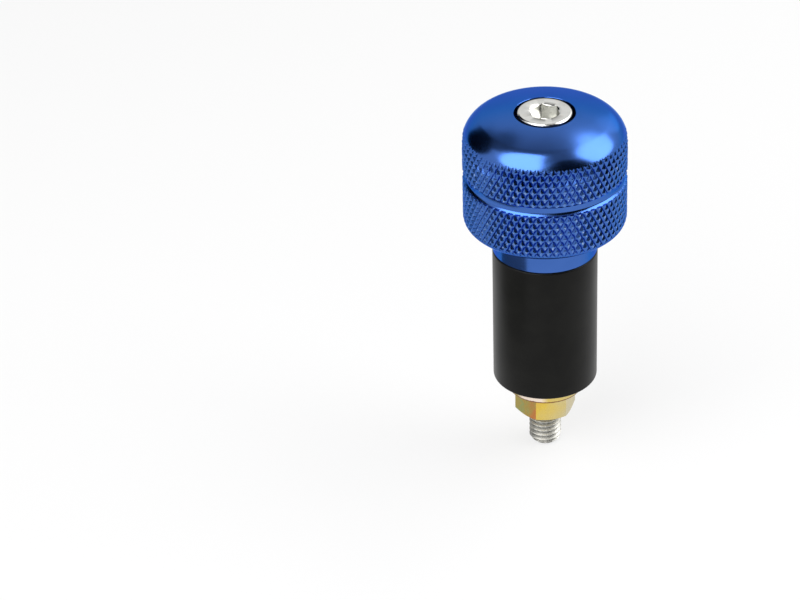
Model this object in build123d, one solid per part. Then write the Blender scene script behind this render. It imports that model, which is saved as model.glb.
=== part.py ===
from build123d import *
import math
import os

# Bar end weight for a motorbike handlebar: a turned and knurled head with a spigot, a rubber expander
# sleeve, a socket head cap screw through both, and a flange nut that the screw draws up.
# Units are millimetres. The axis of the part is Z with the head up, and the origin is on the axis at the
# shoulder, the plane that stops against the end of the handlebar.

# Head, turned from one bar
HEAD_D = 30.0            # over the crests of the knurl
SHOULDER_R = 1.9         # rounded lower edge of the head
GROOVE_Z = 9.35          # lower edge of the plain groove between the two knurled bands
GROOVE_W = 2.15          # groove width at the knurl
GROOVE_DEPTH = 0.75      # below the knurl crests, and the radius of the groove's rounded sides
DOME_Z = 16.85           # where the dome starts to curve in
DOME_EDGE_R = 4.7        # radius of the dome's outer edge
DOME_EDGE_SWEEP = 75.0   # degrees that this edge turns through
CROWN_R = 50.0           # radius of the shallow crown inside it
SPIGOT_D = 19.4          # spigot that fills the bar's mouth
SPIGOT_L = 5.65
SPIGOT_BREAK = 0.25      # chamfer on the spigot's end
TURNING_ALLOWANCE = 0.05  # the blank stands this much proud until the knurl is cut

# Diamond knurl
KNURL_PITCH = 1.428      # around the head, from one diamond to the next
KNURL_ANGLE = 30.0       # degrees from the axis to each of the two crossing grooves
KNURL_DEPTH = 0.45       # from the diamonds' points to the bottom of the grooves
KNURL_OVERRUN = 0.6      # the knurling tool runs past the ends of the bands by this much

# M6 socket head cap screw
THREAD_D = 6.0
SCREW_L = 65.0           # under the head
SCREW_HEAD_D = 10.0
SCREW_HEAD_H = 6.0
SCREW_HEAD_BREAK = 0.4   # chamfer round the top of the head
SCREW_PROUD = 0.25       # the head stands this much above the counterbore's rim
SOCKET_AF = 5.0          # across the flats of the hexagon socket
SOCKET_DEPTH = 3.0
SOCKET_CONE = 0.8        # depth of the drilled point below the socket's walls
SOCKET_CORNER = 41.7     # degrees, direction of one corner of the socket
TIP_CHAMFER = 0.8

# Holes that the screw passes through
COUNTERBORE_GAP = 0.6    # round the screw's head
SHANK_GAP = 0.3          # round the shank, in the head and in the sleeve
THREAD_GAP = 0.1         # round the shank, in the nut
RIM_BREAK = 0.05         # chamfer on the counterbore's rim

# Expander sleeve
SLEEVE_D = 19.4
SLEEVE_L = 27.5
SLEEVE_EDGE_R = 0.35     # rounded ends of the sleeve

# M6 flange nut
NUT_AF = 10.0
NUT_H = 7.85
NUT_CORNER = 12.5        # degrees, direction of one corner of the hexagon
NUT_END_D = 9.8          # flat at the end of the chamfered hexagon
NUT_CHAMFER = 30.0       # degrees from that flat to the chamfer
FLANGE_D = 14.2
FLANGE_EDGE = 2.55       # thickness of the flange at its rim
FLANGE_SLOPE = 35.0      # degrees, flange's cone up to the hexagon
FLANGE_EDGE_R = 0.3      # rounded edges of the rim
NUT_THREAD_BREAK = 0.4   # countersink at both ends of the nut's thread

# Worked out from the sizes above
HEAD_R = HEAD_D / 2
BLANK_R = HEAD_R + TURNING_ALLOWANCE
KNURL_ROOT_R = HEAD_R - KNURL_DEPTH
GROOVE_R = HEAD_R - GROOVE_DEPTH
GROOVE_TOP_Z = GROOVE_Z + GROOVE_W
GROOVE_FLOOR_Z = GROOVE_Z + GROOVE_DEPTH
GROOVE_CEILING_Z = GROOVE_TOP_Z - GROOVE_DEPTH
SPIGOT_R = SPIGOT_D / 2
SPIGOT_Z = -SPIGOT_L
SHANK_R = THREAD_D / 2
SHANK_HOLE_R = SHANK_R + SHANK_GAP
COUNTERBORE_R = SCREW_HEAD_D / 2 + COUNTERBORE_GAP
SLEEVE_R = SLEEVE_D / 2
SLEEVE_Z = SPIGOT_Z - SLEEVE_L
NUT_Z = SLEEVE_Z - NUT_H


def polar(radius, degrees, z):
    """Point at a radius and a direction round the axis."""
    turn = math.radians(degrees)
    return Vector(radius * math.cos(turn), radius * math.sin(turn), z)


def dome_knee():
    """Point where the dome's edge radius meets the crown, and the crown's centre, as (r, z) pairs."""
    sweep = math.radians(DOME_EDGE_SWEEP)
    out = math.cos(sweep)
    up = math.sin(sweep)
    knee = (BLANK_R - DOME_EDGE_R + DOME_EDGE_R * out, DOME_Z + DOME_EDGE_R * up)
    centre = (knee[0] - CROWN_R * out, knee[1] - CROWN_R * up)
    return knee, centre


def crown_z(radius):
    """Height of the crown at a radius."""
    _, centre = dome_knee()
    return centre[1] + math.sqrt(CROWN_R**2 - (radius - centre[0]) ** 2)


RIM_R = COUNTERBORE_R + RIM_BREAK
RIM_Z = crown_z(RIM_R)
SCREW_TOP_Z = RIM_Z + SCREW_PROUD
SCREW_SEAT_Z = SCREW_TOP_Z - SCREW_HEAD_H
SCREW_TIP_Z = SCREW_SEAT_Z - SCREW_L


def turned(*lines):
    """Solid turned from a closed outline of lines in (r, z)."""
    face = make_face(Plane.XZ * Curve(list(lines)))
    return revolve(face, Axis.Z)


def turned_blank():
    """The head before knurling: spigot, shoulder, groove, dome, counterbore and through hole."""
    knee, _ = dome_knee()
    edge_mid = math.radians(DOME_EDGE_SWEEP / 2)
    shoulder_mid = SHOULDER_R * (1 - math.sqrt(0.5))
    side_mid = GROOVE_DEPTH * math.sqrt(0.5)
    crown_mid_r = (knee[0] + RIM_R) / 2
    lower = Polyline(
        (SHANK_HOLE_R, SCREW_SEAT_Z),
        (SHANK_HOLE_R, SPIGOT_Z),
        (SPIGOT_R - SPIGOT_BREAK, SPIGOT_Z),
        (SPIGOT_R, SPIGOT_Z + SPIGOT_BREAK),
        (SPIGOT_R, 0),
        (BLANK_R - SHOULDER_R, 0),
    )
    shoulder = ThreePointArc(
        (BLANK_R - SHOULDER_R, 0),
        (BLANK_R - shoulder_mid, shoulder_mid),
        (BLANK_R, SHOULDER_R),
    )
    lower_band = Polyline((BLANK_R, SHOULDER_R), (BLANK_R, GROOVE_Z), (HEAD_R, GROOVE_Z))
    lower_side = ThreePointArc(
        (HEAD_R, GROOVE_Z),
        (HEAD_R - side_mid, GROOVE_FLOOR_Z - side_mid),
        (GROOVE_R, GROOVE_FLOOR_Z),
    )
    groove = Line((GROOVE_R, GROOVE_FLOOR_Z), (GROOVE_R, GROOVE_CEILING_Z))
    upper_side = ThreePointArc(
        (GROOVE_R, GROOVE_CEILING_Z),
        (HEAD_R - side_mid, GROOVE_CEILING_Z + side_mid),
        (HEAD_R, GROOVE_TOP_Z),
    )
    upper_band = Polyline((HEAD_R, GROOVE_TOP_Z), (BLANK_R, GROOVE_TOP_Z), (BLANK_R, DOME_Z))
    dome_edge = ThreePointArc(
        (BLANK_R, DOME_Z),
        (BLANK_R - DOME_EDGE_R * (1 - math.cos(edge_mid)), DOME_Z + DOME_EDGE_R * math.sin(edge_mid)),
        knee,
    )
    crown = ThreePointArc(knee, (crown_mid_r, crown_z(crown_mid_r)), (RIM_R, RIM_Z))
    hole = Polyline(
        (RIM_R, RIM_Z),
        (COUNTERBORE_R, RIM_Z - RIM_BREAK),
        (COUNTERBORE_R, SCREW_SEAT_Z),
        (SHANK_HOLE_R, SCREW_SEAT_Z),
    )
    bands = [lower_band, lower_side, groove, upper_side, upper_band]
    return turned(lower, shoulder, *bands, dome_edge, crown, hole)


def knurl_tool():
    """Ring with the knurl's negative as its inner face: what the knurling takes off the blank.

    Two sets of V grooves cross on the head and leave a diamond in each mesh of their lattice. A lattice
    point (i, j) is i half pitches round and j half pitches up. The grooves cross where i + j is even, and
    a diamond stands where i + j is odd, with a crossing to each side of it, above it and below it.
    """
    around = 2 * round(math.pi * HEAD_D / KNURL_PITCH)
    step = 360 / around
    rise = 2 * math.pi * HEAD_R / around / math.tan(math.radians(KNURL_ANGLE))
    low_z = -KNURL_OVERRUN - rise
    rows = math.ceil((DOME_Z + DOME_EDGE_R - low_z) / rise)
    outer_r = BLANK_R + KNURL_OVERRUN

    def lattice(radius, i, j):
        return polar(radius, i * step, low_z + j * rise)

    def facet(*points):
        return Face(Wire.make_polygon(points))

    faces = []
    neighbours = [(1, 0), (0, 1), (-1, 0), (0, -1)]
    for j in range(1, rows):
        for i in range(around):
            if (i + j) % 2 == 0:
                continue
            point = lattice(HEAD_R, i, j)
            base = [lattice(KNURL_ROOT_R, i + across, j + up) for across, up in neighbours]
            for k in range(4):
                faces.append(facet(base[k], base[(k + 1) % 4], point))

    for edge_row, inner_row in ((0, 1), (rows, rows - 1)):
        for i in range(around):
            here = edge_row if (i + edge_row) % 2 == 0 else inner_row
            there = inner_row if here == edge_row else edge_row
            inner_here = lattice(KNURL_ROOT_R, i, here)
            inner_there = lattice(KNURL_ROOT_R, i + 1, there)
            outer_here = lattice(outer_r, i, edge_row)
            outer_there = lattice(outer_r, i + 1, edge_row)
            faces.append(facet(inner_here, inner_there, outer_here))
            faces.append(facet(inner_there, outer_there, outer_here))
    for i in range(around):
        low_edge = [lattice(outer_r, i, 0), lattice(outer_r, i + 1, 0)]
        high_edge = [lattice(outer_r, i + 1, rows), lattice(outer_r, i, rows)]
        faces.append(facet(*low_edge, *high_edge))
    return Solid(Shell(faces))


def knurled_head():
    """Blue anodised head: the turned blank with the knurl cut into its two bands."""
    return turned_blank() - knurl_tool()


def expander_sleeve():
    """Rubber tube between the spigot and the nut."""
    tube = Cylinder(SLEEVE_R, SLEEVE_L, align=(Align.CENTER, Align.CENTER, Align.MIN))
    tube = fillet(tube.edges(), SLEEVE_EDGE_R)
    tube -= Cylinder(SHANK_HOLE_R, SLEEVE_L, align=(Align.CENTER, Align.CENTER, Align.MIN))
    return Pos(0, 0, SLEEVE_Z) * tube


def hexagon(across_flats, corner):
    """Hexagon with one corner in the given direction."""
    return Rot(0, 0, corner) * RegularPolygon(across_flats / 2, 6, major_radius=False)


def socket_screw():
    """Socket head cap screw, with its thread left as a plain shank."""
    head_r = SCREW_HEAD_D / 2
    body = turned(
        Polyline(
            (0, SCREW_TOP_Z),
            (head_r - SCREW_HEAD_BREAK, SCREW_TOP_Z),
            (head_r, SCREW_TOP_Z - SCREW_HEAD_BREAK),
            (head_r, SCREW_SEAT_Z),
            (SHANK_R, SCREW_SEAT_Z),
            (SHANK_R, SCREW_TIP_Z + TIP_CHAMFER),
            (SHANK_R - TIP_CHAMFER, SCREW_TIP_Z),
            (0, SCREW_TIP_Z),
            close=True,
        )
    )
    socket_z = SCREW_TOP_Z - SOCKET_DEPTH
    socket = extrude(Pos(0, 0, socket_z) * hexagon(SOCKET_AF, SOCKET_CORNER), SOCKET_DEPTH)
    point = Pos(0, 0, socket_z - SOCKET_CONE) * Cone(
        0, SOCKET_AF / 2, SOCKET_CONE, align=(Align.CENTER, Align.CENTER, Align.MIN)
    )
    return body - socket - point


def flange_nut():
    """Flange nut with its flange up against the sleeve."""
    flange_r = FLANGE_D / 2
    corner_r = NUT_AF / math.sqrt(3)
    flat_r = NUT_AF / 2
    end_r = NUT_END_D / 2
    cone_rise = (flange_r - flat_r) * math.tan(math.radians(FLANGE_SLOPE))
    chamfer_rise = (corner_r - end_r) * math.tan(math.radians(NUT_CHAMFER))
    hole_r = SHANK_R + THREAD_GAP
    prism = extrude(Pos(0, 0, NUT_Z) * hexagon(NUT_AF, NUT_CORNER), NUT_H)
    chamfered = turned(
        Polyline(
            (0, NUT_Z),
            (end_r, NUT_Z),
            (corner_r, NUT_Z + chamfer_rise),
            (corner_r, SLEEVE_Z),
            (0, SLEEVE_Z),
            close=True,
        )
    )
    flange = turned(
        Polyline(
            (0, SLEEVE_Z),
            (flange_r, SLEEVE_Z),
            (flange_r, SLEEVE_Z - FLANGE_EDGE),
            (flat_r, SLEEVE_Z - FLANGE_EDGE - cone_rise),
            (0, SLEEVE_Z - FLANGE_EDGE - cone_rise),
            close=True,
        )
    )
    rim_edges = flange.edges().filter_by(GeomType.CIRCLE).sort_by(SortBy.RADIUS)[-2:]
    flange = fillet(rim_edges, FLANGE_EDGE_R)
    hole = turned(
        Polyline(
            (0, NUT_Z),
            (hole_r + NUT_THREAD_BREAK, NUT_Z),
            (hole_r, NUT_Z + NUT_THREAD_BREAK),
            (hole_r, SLEEVE_Z - NUT_THREAD_BREAK),
            (hole_r + NUT_THREAD_BREAK, SLEEVE_Z),
            (0, SLEEVE_Z),
            close=True,
        )
    )
    return (prism & chamfered) + flange - hole


NODES = {
    "knurled_head": knurled_head,
    "expander_sleeve": expander_sleeve,
    "socket_screw": socket_screw,
    "flange_nut": flange_nut,
}

os.makedirs("parts", exist_ok=True)
for name, make in NODES.items():
    export_step(make(), f"parts/{name}.step")
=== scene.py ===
import math

import bpy
import numpy as np
from mathutils import Matrix, Vector


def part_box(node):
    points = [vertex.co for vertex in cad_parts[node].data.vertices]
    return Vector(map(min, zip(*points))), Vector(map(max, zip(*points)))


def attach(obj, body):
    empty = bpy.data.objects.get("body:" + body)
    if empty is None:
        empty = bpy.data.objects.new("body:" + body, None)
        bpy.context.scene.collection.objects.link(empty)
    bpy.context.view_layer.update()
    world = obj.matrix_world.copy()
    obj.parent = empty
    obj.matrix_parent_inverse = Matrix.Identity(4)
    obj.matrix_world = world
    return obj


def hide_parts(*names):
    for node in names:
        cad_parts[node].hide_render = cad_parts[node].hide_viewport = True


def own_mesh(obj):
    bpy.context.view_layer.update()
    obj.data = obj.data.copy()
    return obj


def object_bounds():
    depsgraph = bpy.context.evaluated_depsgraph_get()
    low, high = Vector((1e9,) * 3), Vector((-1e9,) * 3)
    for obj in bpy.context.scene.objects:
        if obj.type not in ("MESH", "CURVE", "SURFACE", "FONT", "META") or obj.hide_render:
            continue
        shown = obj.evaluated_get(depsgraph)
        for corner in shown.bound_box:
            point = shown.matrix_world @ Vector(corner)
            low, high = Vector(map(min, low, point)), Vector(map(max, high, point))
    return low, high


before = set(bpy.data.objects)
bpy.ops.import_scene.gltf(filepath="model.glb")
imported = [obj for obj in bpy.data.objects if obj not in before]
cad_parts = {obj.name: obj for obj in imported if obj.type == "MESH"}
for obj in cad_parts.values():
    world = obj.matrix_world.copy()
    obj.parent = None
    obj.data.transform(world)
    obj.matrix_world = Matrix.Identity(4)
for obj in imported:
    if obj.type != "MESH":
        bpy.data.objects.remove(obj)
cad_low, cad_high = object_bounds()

# Bar end weight: a blue anodised knurled head, a black rubber expander sleeve, a bright socket screw and a
# yellow zinc flange nut. Sizes of the part are in millimetres until a mesh is made, and its axis is Z.
MM = 0.001


def box_mm(node):
    """Lowest and highest corners of a CAD node, in millimetres."""
    low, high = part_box(node)
    return Vector(low) / MM, Vector(high) / MM


HEAD_LOW, HEAD_HIGH = box_mm("knurled_head")
SLEEVE_LOW, SLEEVE_HIGH = box_mm("expander_sleeve")
SCREW_LOW, SCREW_HIGH = box_mm("socket_screw")
NUT_LOW, NUT_HIGH = box_mm("flange_nut")

# Head
HEAD_R = HEAD_HIGH.x
SHOULDER_R = 1.9           # rounded lower edge
GROOVE_Z = 9.35            # lower edge of the plain groove
GROOVE_W = 2.15
GROOVE_DEPTH = 0.75        # and the radius of the groove's rounded sides
DOME_Z = 16.85             # where the dome starts to curve in
DOME_EDGE_R = 4.7
DOME_EDGE_SWEEP = 75.0     # degrees
CROWN_R = 50.0
SPIGOT_R = SLEEVE_HIGH.x
SPIGOT_BREAK = 0.25
RIM_R = 5.65               # counterbore at its chamfered rim
RIM_BREAK = 0.05
COUNTERBORE_R = RIM_R - RIM_BREAK

# Diamond knurl
KNURL_AROUND = 132         # half pitches round the head
KNURL_ANGLE = 30.0         # degrees from the axis to each set of grooves
KNURL_DEPTH = 0.32
KNURL_END_DEPTH = 0.45     # where the grooves run out on the dome
KNURL_FLANK = 0.66         # share of a half pitch from a groove to a diamond's flat top
KNURL_OVERRUN = 0.6        # the lattice starts this far, and one rise more, below the shoulder
KNURL_RISE = 2 * math.pi * HEAD_R / KNURL_AROUND / math.tan(math.radians(KNURL_ANGLE))
KNURL_START = -KNURL_OVERRUN - KNURL_RISE
KNURL_ROOT_R = HEAD_R - KNURL_DEPTH
KNURL_STEPS = 6            # mesh columns and rows in a half pitch

# Screw, M6 with a coarse thread
SHANK_R = 3.0
SHANK_GAP = 0.3            # round the shank, in the head and in the sleeve
SHANK_HOLE_R = SHANK_R + SHANK_GAP
SCREW_HEAD_R = SCREW_HIGH.x
SCREW_HEAD_H = 6.0
SCREW_HEAD_BREAK = 0.4     # radius of the rounded edge round its top
SCREW_SEAT_Z = SCREW_HIGH.z - SCREW_HEAD_H
SOCKET_AF = 5.0
SOCKET_DEPTH = 3.0
SOCKET_CONE = 0.8          # depth of the drilled point below the socket's walls
SOCKET_CORNER = 41.7       # degrees, direction of one corner
MOUTH_SHARE = 0.99         # countersink of the socket, as a share of the radius of its corners
MOUTH_MARGIN = 0.02        # and by how much wider than that it is
MOUTH_SLOPE = 30.0         # degrees from level, slope of the countersink
MOUTH_DROP = 0.03          # depth that is added to it all round
THREAD_PITCH = 1.0
THREAD_DEPTH = 0.58
THREAD_CREST = 0.12        # share of a half pitch that is flat at the crest
THREAD_FLANK = 0.7         # share of it from the crest down to the root
THREAD_L = 24.0
THREAD_END = 0.2           # from the last row of the thread to the plain shank
THREAD_ROWS = 16           # mesh rows in one turn
TIP_CHAMFER = 0.8

# Flange nut
NUT_AF = 10.0
NUT_CORNER = 12.5          # degrees, direction of one corner
NUT_END_R = 4.9            # flat at the end of the chamfered hexagon
NUT_CHAMFER = 30.0         # degrees from that flat to the chamfer
FLANGE_R = NUT_HIGH.x
FLANGE_EDGE = 2.55         # thickness of the flange at its rim
FLANGE_SLOPE = 35.0        # degrees, flange's cone up to the hexagon
FLANGE_EDGE_R = 0.3
RIM_FOOT_Z = NUT_HIGH.z - FLANGE_EDGE
THREAD_GAP = 0.1           # round the shank, in the nut
NUT_HOLE_R = SHANK_R + THREAD_GAP
NUT_THREAD_BREAK = 0.4

# Sleeve
SLEEVE_EDGE_R = 0.35
SLEEVE_RINGS = (0.25, 0.5, 0.75)  # mesh rings between its ends, as shares of its length

# Mesh columns round the axis, and points along round stretches
KNURL_COLUMNS = KNURL_AROUND * KNURL_STEPS
PLAIN_COLUMNS = KNURL_COLUMNS // 4
HEX_COLUMNS = 96
THREAD_COLUMNS = 48
GROOVE_POINTS = 8
SHOULDER_POINTS = 12
DOME_POINTS = 26
CROWN_POINTS = 14
EDGE_POINTS = 7            # small rounded edges
CONE_EDGE_POINTS = 6       # edge between the flange's cone and its rim

# Painted highlights and shade on the surfaces, and the grain of the knurl
CREST_HIGHLIGHT_DEPTH = 0.08          # depth of the diamonds' tops, which are painted paler as a highlight
GRAIN_EDGE = 0.2           # over this width the grain of the knurl fades out towards the axis
RIM_HIGHLIGHT_DEPTHS = (0.12, 0.04)    # depths in the flange's rim where the painted highlight begins and where it is full
RIM_SHADE_DEPTHS = (0.6, 0.3)     # the same for the painted shade at the rim's foot
FOOT_SHADE_H = 0.4              # height over which that painted shade fades out

# Colours, as linear red, green and blue
BLACK = (0, 0, 0)
WHITE = (1, 1, 1)
BLUE_DEEP = (0.046, 0.13, 0.44)
BLUE_CLEAR = (0.053, 0.142, 0.47)
# Painted highlights on the diamonds' tops: paler patches, and pale glints in specks
BLUE_CREST_HIGHLIGHT = (0.12, 0.235, 0.55)
BLUE_GLINT = (0.4, 0.52, 0.72)
BLUE_GLANCING = (0.12, 0.38, 0.9)  # of reflections at a low angle
RUBBER_DARK = (0.006, 0.006, 0.0055)
RUBBER_PALE = (0.009, 0.009, 0.008)
ZINC_DULL = (0.52, 0.52, 0.49)
ZINC_DULL_PALE = (0.66, 0.65, 0.61)
ZINC_CLEAN = (0.8, 0.8, 0.77)
ZINC_BRIGHT = (0.88, 0.88, 0.85)
ZINC_WARM = (0.86, 0.83, 0.77)
# Painted shade in the thread's roots
ZINC_ROOT_SHADE = (0.16, 0.16, 0.14)
ZINC_GLANCING = (0.05, 0.05, 0.05)  # of reflections at a low angle
# Painted highlight along a part of the flange's rim
NUT_RIM_HIGHLIGHT = (0.92, 0.78, 0.66)
# Painted shade at the foot of the flange's rim, red-brown
NUT_FOOT_SHADE = (0.2, 0.07, 0.03)

# Chromate film of the nut, with painted reflections: the colours along its value, and the weights of what
# makes up that value. Its shift across X, down the nut and between faces paints the reflections on each
# face; the patches are the film's own.
FILM_AND_REFLECTION_COLOURS = [
    (0.29, (0.39, 0.31, 0.09)),
    (0.312, (0.3, 0.33, 0.12)),
    (0.33, (0.39, 0.3, 0.08)),
    (0.35, (0.42, 0.27, 0.07)),
    (0.375, (0.53, 0.2, 0.055)),
    (0.46, (0.56, 0.2, 0.055)),
    (0.6, (0.72, 0.46, 0.1)),
    (0.7, (0.75, 0.54, 0.09)),
    (0.82, (0.68, 0.54, 0.2)),
    (0.95, (0.6, 0.53, 0.32)),
]
REFLECTION_ACROSS = 0.5
REFLECTION_DOWN = 0.12
REFLECTION_TURNED = 0.3
FILM_PATCHES = 0.25
TURNED_FROM = -0.5         # X of a normal up to which a face looks to -X; from 0 on it does not

# Studio, in metres and degrees. Azimuth 0 is towards the camera and 90 to its right.
STUDIO_CENTRE = Vector((0, 0, 0.018))
STUDIO_R = 0.6             # from the centre to the cards
WALL_WHITE = 0.85
WALL_TOP = 46              # elevation where the walls begin to darken
CEILING_GREY = 0.24
CEILING_EDGE = 62          # elevation where they are as dark as the ceiling
WALL_LIGHT = 0.45          # strength of walls and ceiling as a light, where 1 is as they are seen
FLOOR_HALF = 4.0
FLOOR_GREY = 0.18
FLOOR_ROUGHNESS = 0.9
FLOOR_GLOW = 0.72          # where the floor is seen, but not as a light
FLOOR_LIFT = 0.0005        # from the floor up to a card that lies on it
CORNER_CUTS = 2            # rounds of cutting off a card's corners
CORNER_SHARE = 0.25        # share of a side that a cut takes off each end
LIGHTING_GLOW = 1          # only cards that glow more than this light the part

# Cards round the head: how much each glows, where 1 is white, and its outline in azimuth and elevation
CARDS_AROUND = {
    "lamp_left": (4.2, [(-58, 12), (-80, 44), (-120, 74), (-60, 90), (-4, 72), (-4, 14)]),
    "lamp_right": (
        4.2,
        [(68, 8), (62, 50), (96, 67), (150, 60), (165, 50), (158, 40), (126, 34), (106, 8)],
    ),
    "lamp_back": (1.45, [(134, 8), (138, 32), (158, 38), (165, 28), (158, 8)]),
    "card_left": (
        0,
        [(-136, -2), (-140, 22), (-160, 33), (-158, 45), (-98, 46), (-88, 18), (-112, -8)],
    ),
    "card_dim": (0.16, [(-150, 39), (-166, 43), (-166, 54), (-135, 66), (-102, 58), (-90, 44)]),
    "card_front": (0, [(0, 10), (8, 46), (36, 62), (62, 46), (66, 2)]),
    "card_low": (0, [(-22, -6), (-22, 9), (30, 8), (98, 8), (98, -6), (30, -6)]),
}

# Cards on the floor: glow, and the outline in azimuth and metres from the axis
CARDS_ON_FLOOR = {
    "card_floor": (0.18, [(-30, 0.06), (-44, 0.11), (-96, 0.11), (-112, 0.06)]),
}

# Camera
IMAGE_W = 800              # pixels of the photo
IMAGE_H = 600
CAMERA_DISTANCE = 0.65
CAMERA_ELEVATION = 31.2    # degrees
CAMERA_ROLL = -0.002       # radians
CAMERA_NEAR = 0.01         # nothing nearer is shown
PIXELS_PER_MM = 5.458      # at the origin
ORIGIN_PIXEL = (544.9, 220.0)  # where the origin is in the photo
SENSOR_MM = 36.0


# Mesh helpers


def ring(radius, z, columns, first=0.0):
    """Points round the axis. Radius and height are one number, or one for each column."""
    turn = math.radians(first) + 2 * math.pi * np.arange(columns) / columns
    around = np.broadcast_to(radius, columns)
    height = np.broadcast_to(z, columns)
    return np.column_stack([around * np.cos(turn), around * np.sin(turn), height])


def pole(z):
    """A point on the axis, which closes a skin."""
    return np.array([[0.0, 0.0, z]])


def arc(centre, radius, start, end, count):
    """Points (r, z) along an arc, from one direction to another in degrees."""
    turns = np.radians(np.linspace(start, end, count))
    return [(centre[0] + radius * math.cos(t), centre[1] + radius * math.sin(t)) for t in turns]


def level_faces(low, high, count, lean):
    """Faces between two rings with the same number of columns. lean says for each column which way a
    square is split into triangles; without it the squares stay whole."""
    here = np.arange(count)
    after = (here + 1) % count
    a = low + here
    b = low + after
    c = high + after
    d = high + here
    if lean is None:
        return np.column_stack([a, b, c, d]).tolist()
    split = lean[:, None]
    first = np.where(split, np.column_stack([a, b, c]), np.column_stack([a, b, d]))
    second = np.where(split, np.column_stack([a, c, d]), np.column_stack([b, c, d]))
    return first.tolist() + second.tolist()


def fan_faces(fine, fine_count, coarse, coarse_count, fine_is_low):
    """Triangles between a ring and one with a whole number of times fewer columns, or a pole."""
    share = fine_count // coarse_count
    half = share // 2
    faces = []
    for i in range(coarse_count):
        near = coarse + i
        far = coarse + (i + 1) % coarse_count
        edge = [fine + (i * share + t) % fine_count for t in range(share + 1)]
        for t in range(share):
            faces.append((edge[t], edge[t + 1], near if t < half else far))
        if near != far:
            faces.append((edge[half], far, near))
    if fine_is_low:
        return faces
    return [face[::-1] for face in faces]


def skin(rings, closed=False, lean=None):
    """Points and faces of a skin over rings, in order. lean(low, high) splits squares between two rings."""
    starts = np.cumsum([0] + [len(points) for points in rings])
    pairs = list(zip(range(len(rings) - 1), range(1, len(rings))))
    if closed:
        pairs.append((len(rings) - 1, 0))
    faces = []
    for low, high in pairs:
        low_count = len(rings[low])
        high_count = len(rings[high])
        if low_count == high_count:
            split = lean(rings[low], rings[high]) if lean else None
            faces += level_faces(starts[low], starts[high], low_count, split)
        elif low_count > high_count:
            faces += fan_faces(starts[low], low_count, starts[high], high_count, True)
        else:
            faces += fan_faces(starts[high], high_count, starts[low], low_count, False)
    return np.vstack(rings), faces


def piece(name, points, faces, node, body, material, sharp_angle):
    """A piece in the frame, in place of a CAD node, that rides on that node's body."""
    mesh = bpy.data.meshes.new(name)
    mesh.from_pydata((points * MM).tolist(), [], faces)
    mesh.shade_smooth()
    mesh.set_sharp_from_angle(angle=math.radians(sharp_angle))
    mesh.materials.append(material)
    made = bpy.data.objects.new(name, mesh)
    bpy.context.collection.objects.link(made)
    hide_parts(node)
    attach(made, body)
    return made


# Mesh of the head


def groove_r(z):
    """Radius in the plain groove, whose two sides are quarter rounds."""
    middle = GROOVE_Z + GROOVE_W / 2
    past_flat = max(0.0, abs(z - middle) - (GROOVE_W / 2 - GROOVE_DEPTH))
    return HEAD_R - math.sqrt(max(0.0, GROOVE_DEPTH**2 - past_flat**2))


def turned_r(z):
    """Radius of the turned head at a height, before knurling."""
    if z < SHOULDER_R:
        return HEAD_R - SHOULDER_R + math.sqrt(SHOULDER_R**2 - (SHOULDER_R - z) ** 2)
    if z > DOME_Z:
        return HEAD_R - DOME_EDGE_R + math.sqrt(DOME_EDGE_R**2 - (z - DOME_Z) ** 2)
    if GROOVE_Z < z < GROOVE_Z + GROOVE_W:
        return groove_r(z)
    return HEAD_R


def groove_distances(turn, z):
    """Distances to the nearest groove of each of the two sets, in half pitches, from 0 to 1."""
    across = turn / (2 * math.pi) * KNURL_AROUND
    up = (z - KNURL_START) / KNURL_RISE
    first = np.abs((across + up + 1) % 2 - 1)
    second = np.abs((across - up + 1) % 2 - 1)
    return first, second


def knurled_ring(z):
    """Ring of the head at a height in the knurled bands."""
    turn = 2 * math.pi * np.arange(KNURL_COLUMNS) / KNURL_COLUMNS
    first, second = groove_distances(turn, z)
    depth = np.interp(z, (DOME_Z - KNURL_RISE, DOME_Z), (KNURL_DEPTH, KNURL_END_DEPTH))
    climb = np.minimum(first, second) / KNURL_FLANK * KNURL_DEPTH
    return ring(np.minimum(turned_r(z), HEAD_R - depth + climb), z, KNURL_COLUMNS)


def knurl_lean(low, high):
    """True where the grooves of the second set are nearer, so that squares are split along them."""
    if len(low) != KNURL_COLUMNS:
        return np.ones(len(low), bool)
    middle = (low + high) / 2
    turn = (np.arange(KNURL_COLUMNS) + 0.5) * 2 * math.pi / KNURL_COLUMNS
    first, second = groove_distances(turn, middle[:, 2])
    return second < first


def knurl_heights():
    """Heights of the mesh rows in the bands and in the groove between them. Rows of the bands that come
    within a margin of the groove are left out."""
    step = KNURL_RISE / KNURL_STEPS
    start = SHOULDER_R - math.sqrt(SHOULDER_R**2 - (SHOULDER_R - KNURL_DEPTH) ** 2)
    end = DOME_Z + math.sqrt(DOME_EDGE_R**2 - (DOME_EDGE_R - KNURL_END_DEPTH) ** 2)
    rows = KNURL_START + step * np.arange(math.ceil((end - KNURL_START) / step) + 1)
    groove_top = GROOVE_Z + GROOVE_W
    margin = step / 3
    in_bands = [z for z in rows if start < z < GROOVE_Z - margin or groove_top + margin < z]
    sides = GROOVE_DEPTH * (1 - np.cos(np.radians(np.linspace(0, 90, GROOVE_POINTS))))
    in_groove = [GROOVE_Z + s for s in sides] + [groove_top - s for s in sides]
    return sorted(in_bands + in_groove)


def crown_arc():
    """Points of the shallow crown, from the dome's edge to the counterbore's rim."""
    sweep = math.radians(DOME_EDGE_SWEEP)
    knee_r = HEAD_R - DOME_EDGE_R + DOME_EDGE_R * math.cos(sweep)
    knee_z = DOME_Z + DOME_EDGE_R * math.sin(sweep)
    centre = (knee_r - CROWN_R * math.cos(sweep), knee_z - CROWN_R * math.sin(sweep))
    end = math.degrees(math.acos((RIM_R - centre[0]) / CROWN_R))
    return arc(centre, CROWN_R, DOME_EDGE_SWEEP, end, CROWN_POINTS)


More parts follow.
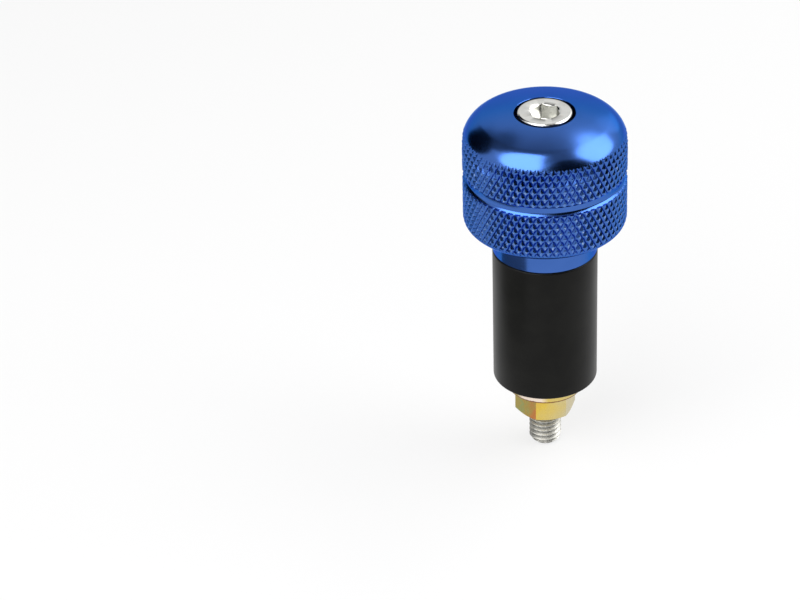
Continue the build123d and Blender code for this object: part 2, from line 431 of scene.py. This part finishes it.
def build_head(material):
    """Spigot, shoulder, knurled bands, dome and counterbore as one skin."""
    heights = knurl_heights()
    shoulder_end = math.degrees(math.asin((heights[0] - SHOULDER_R) / SHOULDER_R))
    dome_start = math.degrees(math.asin((heights[-1] - DOME_Z) / DOME_EDGE_R))
    shoulder = arc((HEAD_R - SHOULDER_R, SHOULDER_R), SHOULDER_R, -90, shoulder_end, SHOULDER_POINTS)
    edge = arc((HEAD_R - DOME_EDGE_R, DOME_Z), DOME_EDGE_R, dome_start, DOME_EDGE_SWEEP, DOME_POINTS)
    crown = crown_arc()
    below = [
        (SHANK_HOLE_R, HEAD_LOW.z),
        (SPIGOT_R - SPIGOT_BREAK, HEAD_LOW.z),
        (SPIGOT_R, HEAD_LOW.z + SPIGOT_BREAK),
        (SPIGOT_R, 0.0),
    ]
    above = [
        (COUNTERBORE_R, crown[-1][1] - RIM_BREAK),
        (COUNTERBORE_R, SCREW_SEAT_Z),
        (SHANK_HOLE_R, SCREW_SEAT_Z),
    ]
    rings = [ring(r, z, PLAIN_COLUMNS) for r, z in below + shoulder[:-1]]
    rings += [knurled_ring(z) for z in heights]
    rings += [ring(r, z, PLAIN_COLUMNS) for r, z in edge[1:] + crown[1:] + above]
    points, faces = skin(rings, closed=True, lean=knurl_lean)
    piece(
        "knurled_head_dressed", points, faces, "knurled_head", "weight", material,
        sharp_angle=40,
    )


# Mesh of the sleeve


def build_sleeve(material):
    """Tube with rounded ends, with a mesh of its own."""
    low = SLEEVE_LOW.z
    high = SLEEVE_HIGH.z
    outer = SLEEVE_HIGH.x
    inset = outer - SLEEVE_EDGE_R
    profile = [(SHANK_HOLE_R, low)]
    profile += arc((inset, low + SLEEVE_EDGE_R), SLEEVE_EDGE_R, -90, 0, EDGE_POINTS)
    profile += [(outer, low + share * (high - low)) for share in SLEEVE_RINGS]
    profile += arc((inset, high - SLEEVE_EDGE_R), SLEEVE_EDGE_R, 0, 90, EDGE_POINTS)
    profile += [(SHANK_HOLE_R, high)]
    rings = [ring(r, z, PLAIN_COLUMNS) for r, z in profile]
    points, faces = skin(rings, closed=True)
    sleeve = piece(
        "expander_sleeve_dressed", points, faces, "expander_sleeve", "weight", material,
        sharp_angle=50,
    )
    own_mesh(sleeve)


# Mesh of the screw


def hexagon_r(across_flats, columns):
    """Radius of a hexagon in each column, where the first column is at a corner."""
    turn = 2 * math.pi * np.arange(columns) / columns
    from_flat = np.abs(turn % (math.pi / 3) - math.pi / 6)
    return across_flats / 2 / np.cos(from_flat)


def thread_ring(z):
    """Ring of the thread at a height: a right-hand helix with flattened crests and roots."""
    share = np.arange(THREAD_COLUMNS) / THREAD_COLUMNS
    phase = (z / THREAD_PITCH - share) % 1
    wave = np.abs(phase * 2 - 1)
    drop = np.clip((wave - THREAD_CREST) / THREAD_FLANK, 0, 1)
    tip_r = SHANK_R - TIP_CHAMFER + (z - SCREW_LOW.z)
    radius = np.minimum(SHANK_R - THREAD_DEPTH * drop, tip_r)
    return ring(radius, z, THREAD_COLUMNS, SOCKET_CORNER)


def build_screw(material):
    """Thread, shank, head and socket, from the tip up and down into the socket's point."""
    top = SCREW_HIGH.z
    thread_rows = int(THREAD_L / THREAD_PITCH * THREAD_ROWS)
    thread_step = THREAD_L / thread_rows
    shank_z = SCREW_LOW.z + THREAD_L + THREAD_END
    rings = [pole(SCREW_LOW.z)]
    rings += [thread_ring(SCREW_LOW.z + i * thread_step) for i in range(thread_rows)]
    rings += [ring(SHANK_R, z, THREAD_COLUMNS, SOCKET_CORNER) for z in (shank_z, SCREW_SEAT_Z)]
    edge_centre = (SCREW_HEAD_R - SCREW_HEAD_BREAK, top - SCREW_HEAD_BREAK)
    outside = [(SCREW_HEAD_R, SCREW_SEAT_Z)]
    outside += arc(edge_centre, SCREW_HEAD_BREAK, 0, 90, EDGE_POINTS)
    walls = hexagon_r(SOCKET_AF, HEX_COLUMNS)
    mouth = np.maximum(walls, SOCKET_AF / math.sqrt(3) * MOUTH_SHARE) + MOUTH_MARGIN
    drop = (mouth - walls) * math.tan(math.radians(MOUTH_SLOPE)) + MOUTH_DROP
    floor_z = top - SOCKET_DEPTH
    inside = [(mouth, top), (walls, top - drop), (walls, floor_z), (SOCKET_AF / 2, floor_z)]
    rings += [ring(r, z, HEX_COLUMNS, SOCKET_CORNER) for r, z in outside + inside]
    rings += [pole(floor_z - SOCKET_CONE)]
    points, faces = skin(rings)
    piece(
        "socket_screw_dressed", points, faces, "socket_screw", "screw", material,
        sharp_angle=35,
    )


# Mesh of the nut


def flange_rim(high):
    """Points (r, z) up the flange's rim, whose two edges are rounded."""
    slope = math.radians(FLANGE_SLOPE)
    inset = FLANGE_R - FLANGE_EDGE_R
    lower_z = high - FLANGE_EDGE + FLANGE_EDGE_R * (1 / math.cos(slope) - math.tan(slope))
    lower = arc((inset, lower_z), FLANGE_EDGE_R, FLANGE_SLOPE - 90, 0, CONE_EDGE_POINTS)
    return lower + arc((inset, high - FLANGE_EDGE_R), FLANGE_EDGE_R, 0, 90, EDGE_POINTS)


def build_nut(material):
    """Chamfered hexagon, coned flange and plain hole as one skin."""
    low = NUT_LOW.z
    high = NUT_HIGH.z
    mouth_r = NUT_HOLE_R + NUT_THREAD_BREAK
    hexagon = hexagon_r(NUT_AF, HEX_COLUMNS)
    chamfer_z = low + (hexagon - NUT_END_R) * math.tan(math.radians(NUT_CHAMFER))
    cone_z = high - FLANGE_EDGE - (FLANGE_R - hexagon) * math.tan(math.radians(FLANGE_SLOPE))
    profile = [(NUT_HOLE_R, low + NUT_THREAD_BREAK), (mouth_r, low), (NUT_END_R, low)]
    profile += [(hexagon, chamfer_z), (hexagon, cone_z)]
    profile += flange_rim(high)
    profile += [(mouth_r, high), (NUT_HOLE_R, high - NUT_THREAD_BREAK)]
    rings = [ring(r, z, HEX_COLUMNS, NUT_CORNER) for r, z in profile]
    points, faces = skin(rings, closed=True)
    piece(
        "flange_nut_dressed", points, faces, "flange_nut", "nut", material,
        sharp_angle=25,
    )


# Materials


def opaque(colour):
    """A colour as shaders take it, with full cover."""
    return (*colour, 1.0)


def grey(level):
    """A grey as shaders take it."""
    return opaque((level, level, level))


class Shader:
    """A material under construction: makes nodes and links them."""

    def __init__(self, name):
        self.material = bpy.data.materials.new(name)
        self.material.use_nodes = True
        self.tree = self.material.node_tree
        self.main = self.tree.nodes["Principled BSDF"]
        self.coordinates = self.node("ShaderNodeTexCoord").outputs
        self.place = self.coordinates["Object"]

    def node(self, kind, links=None, **settings):
        """A node with settings on itself. links maps its inputs to values or to other nodes' outputs."""
        made = self.tree.nodes.new(kind)
        for name, value in settings.items():
            setattr(made, name, value)
        for name, value in (links or {}).items():
            self.feed(made.inputs[name], value)
        return made

    def feed(self, socket, value):
        """Links an output to an input, or sets the input to a constant."""
        if isinstance(value, bpy.types.NodeSocket):
            self.tree.links.new(value, socket)
        else:
            socket.default_value = value

    def noise(self, scale, detail, stretch=(1, 1, 1)):
        """Noise over the object, with this many cells a metre."""
        spread = self.node("ShaderNodeMapping", {"Vector": self.place, "Scale": stretch})
        made = self.node(
            "ShaderNodeTexNoise", {"Vector": spread.outputs["Vector"], "Scale": scale, "Detail": detail}
        )
        return made.outputs["Fac"]

    def ramp(self, value, *stops):
        """Colours at places along a value from 0 to 1."""
        made = self.node("ShaderNodeValToRGB", {"Fac": value})
        marks = made.color_ramp.elements
        while len(marks) < len(stops):
            marks.new(1.0)
        for mark, (at, colour) in zip(marks, stops):
            mark.position = at
            mark.color = opaque(colour)
        return made.outputs["Color"]

    def span(self, value, low, high):
        """A value from 0 to 1 spread over another range."""
        made = self.node("ShaderNodeMapRange", {"Value": value, "To Min": low, "To Max": high})
        return made.outputs["Result"]

    def share(self, value, low, high, unit=MM):
        """0 at one value and 1 at another, both in the unit, and in between."""
        made = self.node(
            "ShaderNodeMapRange", {"Value": value, "From Min": low * unit, "From Max": high * unit}
        )
        return made.outputs["Result"]

    def parts(self, vector):
        """X, Y and Z of a vector."""
        made = self.node("ShaderNodeSeparateXYZ", {"Vector": vector})
        return made.outputs

    def reach(self):
        """Distance from the axis."""
        flat = self.node("ShaderNodeVectorMath", {0: self.place, 1: (1, 1, 0)}, operation="MULTIPLY")
        made = self.node("ShaderNodeVectorMath", {0: flat.outputs["Vector"]}, operation="LENGTH")
        return made.outputs["Value"]

    def calculate(self, operation, *values):
        """Result of an operation on constants or other nodes' outputs."""
        made = self.node("ShaderNodeMath", dict(enumerate(values)), operation=operation)
        return made.outputs["Value"]

    def mix(self, factor, first, second):
        """First colour where the factor is 0, and second where it is 1. Sockets are numbered because the
        node has several of each name, one for each type of data."""
        made = self.node("ShaderNodeMix", data_type="RGBA")
        self.feed(made.inputs["Factor"], factor)
        self.feed(made.inputs[6], first)
        self.feed(made.inputs[7], second)
        return made.outputs[2]

    def openness(self, distance_mm):
        """1 on open surfaces, and less in corners that are narrower than the distance."""
        made = self.node("ShaderNodeAmbientOcclusion", {"Distance": distance_mm * MM}, samples=8)
        return made.outputs["AO"]

    def bump(self, height, strength, depth_mm):
        """Normals of a surface with this relief."""
        made = self.node(
            "ShaderNodeBump", {"Height": height, "Strength": strength, "Distance": depth_mm * MM}
        )
        return made.outputs["Normal"]

    def set(self, **values):
        """Sets inputs of the main shader, named with _ for spaces."""
        for name, value in values.items():
            self.feed(self.main.inputs[name.replace("_", " ")], value)
        return self.material


def blue_anodised():
    """Polished aluminium dyed blue under a clear hard oxide, with painted highlights on the tops of the
    diamonds: paler patches and pale glints.
    """
    shader = Shader("blue_anodised")
    reach = shader.reach()
    on_knurl = shader.share(reach, KNURL_ROOT_R - GRAIN_EDGE, KNURL_ROOT_R)
    on_crest = shader.share(reach, HEAD_R - CREST_HIGHLIGHT_DEPTH, HEAD_R)
    grain = shader.calculate("MULTIPLY", shader.noise(5000, detail=2), on_knurl)
    scuffs = shader.noise(900, detail=4, stretch=(1, 1, 6))
    # Painted highlights on the diamonds' tops: paler patches, and pale glints in specks
    crest_highlight = shader.ramp(shader.noise(1600, detail=2), (0.4, BLACK), (0.62, WHITE))
    glints = shader.ramp(shader.noise(3200, detail=1), (0.62, BLACK), (0.71, WHITE))
    tint = shader.ramp(shader.noise(180, detail=2), (0.3, BLUE_DEEP), (0.7, BLUE_CLEAR))
    tint = shader.mix(shader.calculate("MULTIPLY", on_crest, crest_highlight), tint, opaque(BLUE_CREST_HIGHLIGHT))
    tint = shader.mix(shader.calculate("MULTIPLY", on_crest, glints), tint, opaque(BLUE_GLINT))
    return shader.set(
        Base_Color=tint,
        Metallic=1.0,
        Roughness=shader.span(scuffs, 0.17, 0.22),
        Specular_Tint=opaque(BLUE_GLANCING),
        Coat_Weight=0.14,
        Coat_Roughness=0.18,
        Coat_IOR=1.6,
        Normal=shader.bump(grain, strength=0.35, depth_mm=0.05),
    )


def black_rubber():
    """Satin black extruded rubber, with faint lines along the tube."""
    shader = Shader("black_rubber")
    tint = shader.ramp(shader.noise(300, detail=4), (0.3, RUBBER_DARK), (0.7, RUBBER_PALE))
    lines = shader.noise(700, detail=3, stretch=(1, 1, 0.1))
    grain = shader.noise(6000, detail=3)
    return shader.set(
        Base_Color=tint,
        Roughness=shader.span(lines, 0.3, 0.38),
        Specular_IOR_Level=0.12,
        Normal=shader.bump(grain, strength=0.12, depth_mm=0.03),
    )


def bright_zinc():
    """Bright zinc plate, a little uneven, duller towards the tip, with painted shade in the thread's roots.
    """
    shader = Shader("bright_zinc")
    cleanness = shader.share(shader.parts(shader.place)["Z"], SLEEVE_LOW.z, SCREW_SEAT_Z)
    patches = shader.noise(500, detail=4)
    dull = shader.ramp(patches, (0.3, ZINC_DULL), (0.7, ZINC_DULL_PALE))
    clean = shader.ramp(patches, (0.3, ZINC_CLEAN), (0.6, ZINC_BRIGHT), (0.8, ZINC_WARM))
    plate = shader.mix(cleanness, dull, clean)
    # Painted shade in the thread's roots, where they are narrow
    root_shade = shader.ramp(shader.openness(distance_mm=0.7), (0.25, WHITE), (0.75, BLACK))
    shade_in_thread = shader.calculate("MULTIPLY", root_shade, shader.calculate("SUBTRACT", 1.0, cleanness))
    roughness = shader.span(cleanness, 0.46, 0.14)
    scuffs = shader.span(shader.noise(1500, detail=3), 0.0, 0.1)
    return shader.set(
        Base_Color=shader.mix(shade_in_thread, plate, opaque(ZINC_ROOT_SHADE)),
        Metallic=1.0,
        Specular_Tint=opaque(ZINC_GLANCING),
        Roughness=shader.calculate("ADD", roughness, scuffs),
        Normal=shader.bump(shader.noise(1500, detail=2), strength=0.03, depth_mm=0.03),
    )


def yellow_zinc():
    """Zinc with a yellow chromate film. Its colour runs from olive through orange to gold and pale gold:
    to +X, down the nut, and from faces that look to -X to those that don't, which paints the reflections on
    each face; its patches are the film's own. The flange's rim has a painted highlight along a part of its
    round, and painted shade at its foot."""
    shader = Shader("yellow_zinc")
    place = shader.parts(shader.place)
    normal = shader.parts(shader.coordinates["Normal"])
    reach = shader.reach()
    across = shader.share(place["X"], -FLANGE_R, FLANGE_R)
    down = shader.share(place["Z"], NUT_HIGH.z, NUT_LOW.z)
    turned = shader.share(normal["X"], TURNED_FROM, 0.0, unit=1)
    patches = shader.noise(330, detail=3)
    film_and_reflection = 0.0
    # The shift across X, down the nut and to faces that look to -X is a painted reflection; the patches are
    # the film's own tone
    makings = [(across, REFLECTION_ACROSS), (down, REFLECTION_DOWN), (turned, REFLECTION_TURNED), (patches, FILM_PATCHES)]
    for value, weight in makings:
        film_and_reflection = shader.calculate("MULTIPLY_ADD", value, weight, film_and_reflection)
    tint = shader.ramp(film_and_reflection, *FILM_AND_REFLECTION_COLOURS)
    # Painted highlight along a part of the flange's rim, on one side of its round
    outermost = shader.share(reach, *[FLANGE_R - depth for depth in RIM_HIGHLIGHT_DEPTHS])
    highlight_side = shader.ramp(across, (0.13, BLACK), (0.2, WHITE), (0.44, WHITE), (0.54, BLACK))
    tint = shader.mix(shader.calculate("MULTIPLY", outermost, highlight_side), tint, opaque(NUT_RIM_HIGHLIGHT))
    # Painted shade at the foot of the flange's rim, with a ragged edge
    on_rim = shader.share(reach, *[FLANGE_R - depth for depth in RIM_SHADE_DEPTHS])
    ragged = shader.span(shader.noise(2500, detail=2), -0.3, 0.3)
    low_rim = shader.calculate("ADD", shader.share(place["Z"], RIM_FOOT_Z + FOOT_SHADE_H, RIM_FOOT_Z), ragged)
    foot_shade = shader.ramp(low_rim, (0.4, BLACK), (0.6, WHITE))
    tint = shader.mix(shader.calculate("MULTIPLY", foot_shade, on_rim), tint, opaque(NUT_FOOT_SHADE))
    return shader.set(
        Base_Color=tint,
        Metallic=1.0,
        Roughness=shader.span(shader.noise(1800, detail=3), 0.22, 0.36),
        Normal=shader.bump(shader.noise(1500, detail=2), strength=0.06, depth_mm=0.03),
    )


# Studio and camera


def towards(azimuth, elevation):
    """Direction from the part, at an azimuth and an elevation."""
    a = math.radians(azimuth)
    e = math.radians(elevation)
    return Vector((math.sin(a) * math.cos(e), -math.cos(a) * math.cos(e), math.sin(e)))


def outline_around(directions):
    """Points round the head, in these directions."""
    return [STUDIO_CENTRE + towards(azimuth, elevation) * STUDIO_R for azimuth, elevation in directions]


def outline_on_floor(places):
    """Points just over the floor, at these azimuths and distances from the axis."""
    foot = Vector((0, 0, cad_low[2] + FLOOR_LIFT))
    return [foot + towards(azimuth, 0) * distance for azimuth, distance in places]


def rounded(outline):
    """A closed outline, rounded by cutting off its corners again and again."""
    for _ in range(CORNER_CUTS):
        cut = []
        for here, after in zip(outline, outline[1:] + outline[:1]):
            cut.append(here.lerp(after, CORNER_SHARE))
            cut.append(here.lerp(after, 1 - CORNER_SHARE))
        outline = cut
    return outline


def matt_paint(name, level):
    """A grey paint without gloss, and its main shader, whose glow is white."""
    paint = bpy.data.materials.new(name)
    paint.use_nodes = True
    main = paint.node_tree.nodes["Principled BSDF"]
    main.inputs["Base Color"].default_value = grey(level)
    main.inputs["Specular IOR Level"].default_value = 0
    main.inputs["Emission Color"].default_value = grey(1)
    return paint, main


def stage_object(name, points, faces, paint):
    """An object of the studio, which is no part of the model."""
    mesh = bpy.data.meshes.new(name)
    mesh.from_pydata(points, [], faces)
    mesh.materials.append(paint)
    made = bpy.data.objects.new(name, mesh)
    bpy.context.collection.objects.link(made)
    return made


def card(name, glow, outline):
    """A card that the camera doesn't see and that throws no shadow. One that glows enough lights the
    part, and any other, dim or black, only shows in reflections."""
    paint, main = matt_paint(name, 0)
    main.inputs["Emission Strength"].default_value = glow
    rim = rounded(outline)
    count = len(rim)
    middle = sum(rim, Vector()) / count
    faces = [(i, (i + 1) % count, count) for i in range(count)]
    made = stage_object(name, rim + [middle], faces, paint)
    made.visible_camera = False
    made.visible_diffuse = glow > LIGHTING_GLOW
    made.visible_shadow = False


def seen_directly(tree):
    """1 for camera, glossy and transmission rays, which see the background, and 0 for those that light."""
    path = tree.nodes.new("ShaderNodeLightPath")
    total = path.outputs["Is Camera Ray"]
    for name in ("Is Glossy Ray", "Is Transmission Ray"):
        either = tree.nodes.new("ShaderNodeMath")
        either.operation = "MAXIMUM"
        tree.links.new(total, either.inputs[0])
        tree.links.new(path.outputs[name], either.inputs[1])
        total = either.outputs["Value"]
    return total


def studio_world():
    """White walls that darken overhead, and a softer level of light on the part."""
    world = bpy.data.worlds.new("studio")
    bpy.context.scene.world = world
    world.use_nodes = True
    tree = world.node_tree
    place = tree.nodes.new("ShaderNodeTexCoord")
    split = tree.nodes.new("ShaderNodeSeparateXYZ")
    ramp = tree.nodes.new("ShaderNodeValToRGB")
    tree.links.new(place.outputs["Generated"], split.inputs["Vector"])
    tree.links.new(split.outputs["Z"], ramp.inputs["Fac"])
    marks = ramp.color_ramp.elements
    marks[0].position = math.sin(math.radians(WALL_TOP))
    marks[0].color = grey(WALL_WHITE)
    marks[1].position = math.sin(math.radians(CEILING_EDGE))
    marks[1].color = grey(CEILING_GREY)
    background = tree.nodes["Background"]
    tree.links.new(ramp.outputs["Color"], background.inputs["Color"])
    strength = tree.nodes.new("ShaderNodeMapRange")
    strength.inputs["To Min"].default_value = WALL_LIGHT
    strength.inputs["To Max"].default_value = 1.0
    tree.links.new(seen_directly(tree), strength.inputs["Value"])
    tree.links.new(strength.outputs["Result"], background.inputs["Strength"])


def studio_floor():
    """Pale floor under the tip of the screw. It keeps the shadow and shows as white."""
    paint, main = matt_paint("floor_paper", FLOOR_GREY)
    main.inputs["Roughness"].default_value = FLOOR_ROUGHNESS
    tree = paint.node_tree
    glow = tree.nodes.new("ShaderNodeMath")
    glow.operation = "MULTIPLY"
    glow.inputs[1].default_value = FLOOR_GLOW
    tree.links.new(seen_directly(tree), glow.inputs[0])
    tree.links.new(glow.outputs["Value"], main.inputs["Emission Strength"])
    corners = [(-1, -1), (1, -1), (1, 1), (-1, 1)]
    points = [(x * FLOOR_HALF, y * FLOOR_HALF, cad_low[2]) for x, y in corners]
    stage_object("floor", points, [(0, 1, 2, 3)], paint)


def photo_camera():
    """Camera that sees the part as the photo does."""
    focal_px = PIXELS_PER_MM / MM * CAMERA_DISTANCE
    lens = bpy.data.cameras.new("camera")
    lens.sensor_width = SENSOR_MM
    lens.lens = SENSOR_MM * focal_px / IMAGE_W
    lens.clip_start = CAMERA_NEAR
    camera = bpy.data.objects.new("camera", lens)
    bpy.context.collection.objects.link(camera)
    out = towards(0, CAMERA_ELEVATION)
    aim = Vector((
        (ORIGIN_PIXEL[0] - IMAGE_W / 2) / focal_px,
        (IMAGE_H / 2 - ORIGIN_PIXEL[1]) / focal_px,
        -1,
    ))
    look = out.to_track_quat("Z", "Y").to_matrix()
    roll = Matrix.Rotation(CAMERA_ROLL, 3, "Z")
    swing = aim.normalized().rotation_difference(Vector((0, 0, -1))).to_matrix()
    camera.matrix_world = Matrix.Translation(out * CAMERA_DISTANCE) @ (look @ roll @ swing).to_4x4()
    bpy.context.scene.camera = camera


build_head(blue_anodised())
build_sleeve(black_rubber())
build_screw(bright_zinc())
build_nut(yellow_zinc())

studio_world()
studio_floor()
for name, (glow, directions) in CARDS_AROUND.items():
    card(name, glow, outline_around(directions))
for name, (glow, places) in CARDS_ON_FLOOR.items():
    card(name, glow, outline_on_floor(places))
photo_camera()
bpy.context.scene.view_settings.view_transform = "Standard"
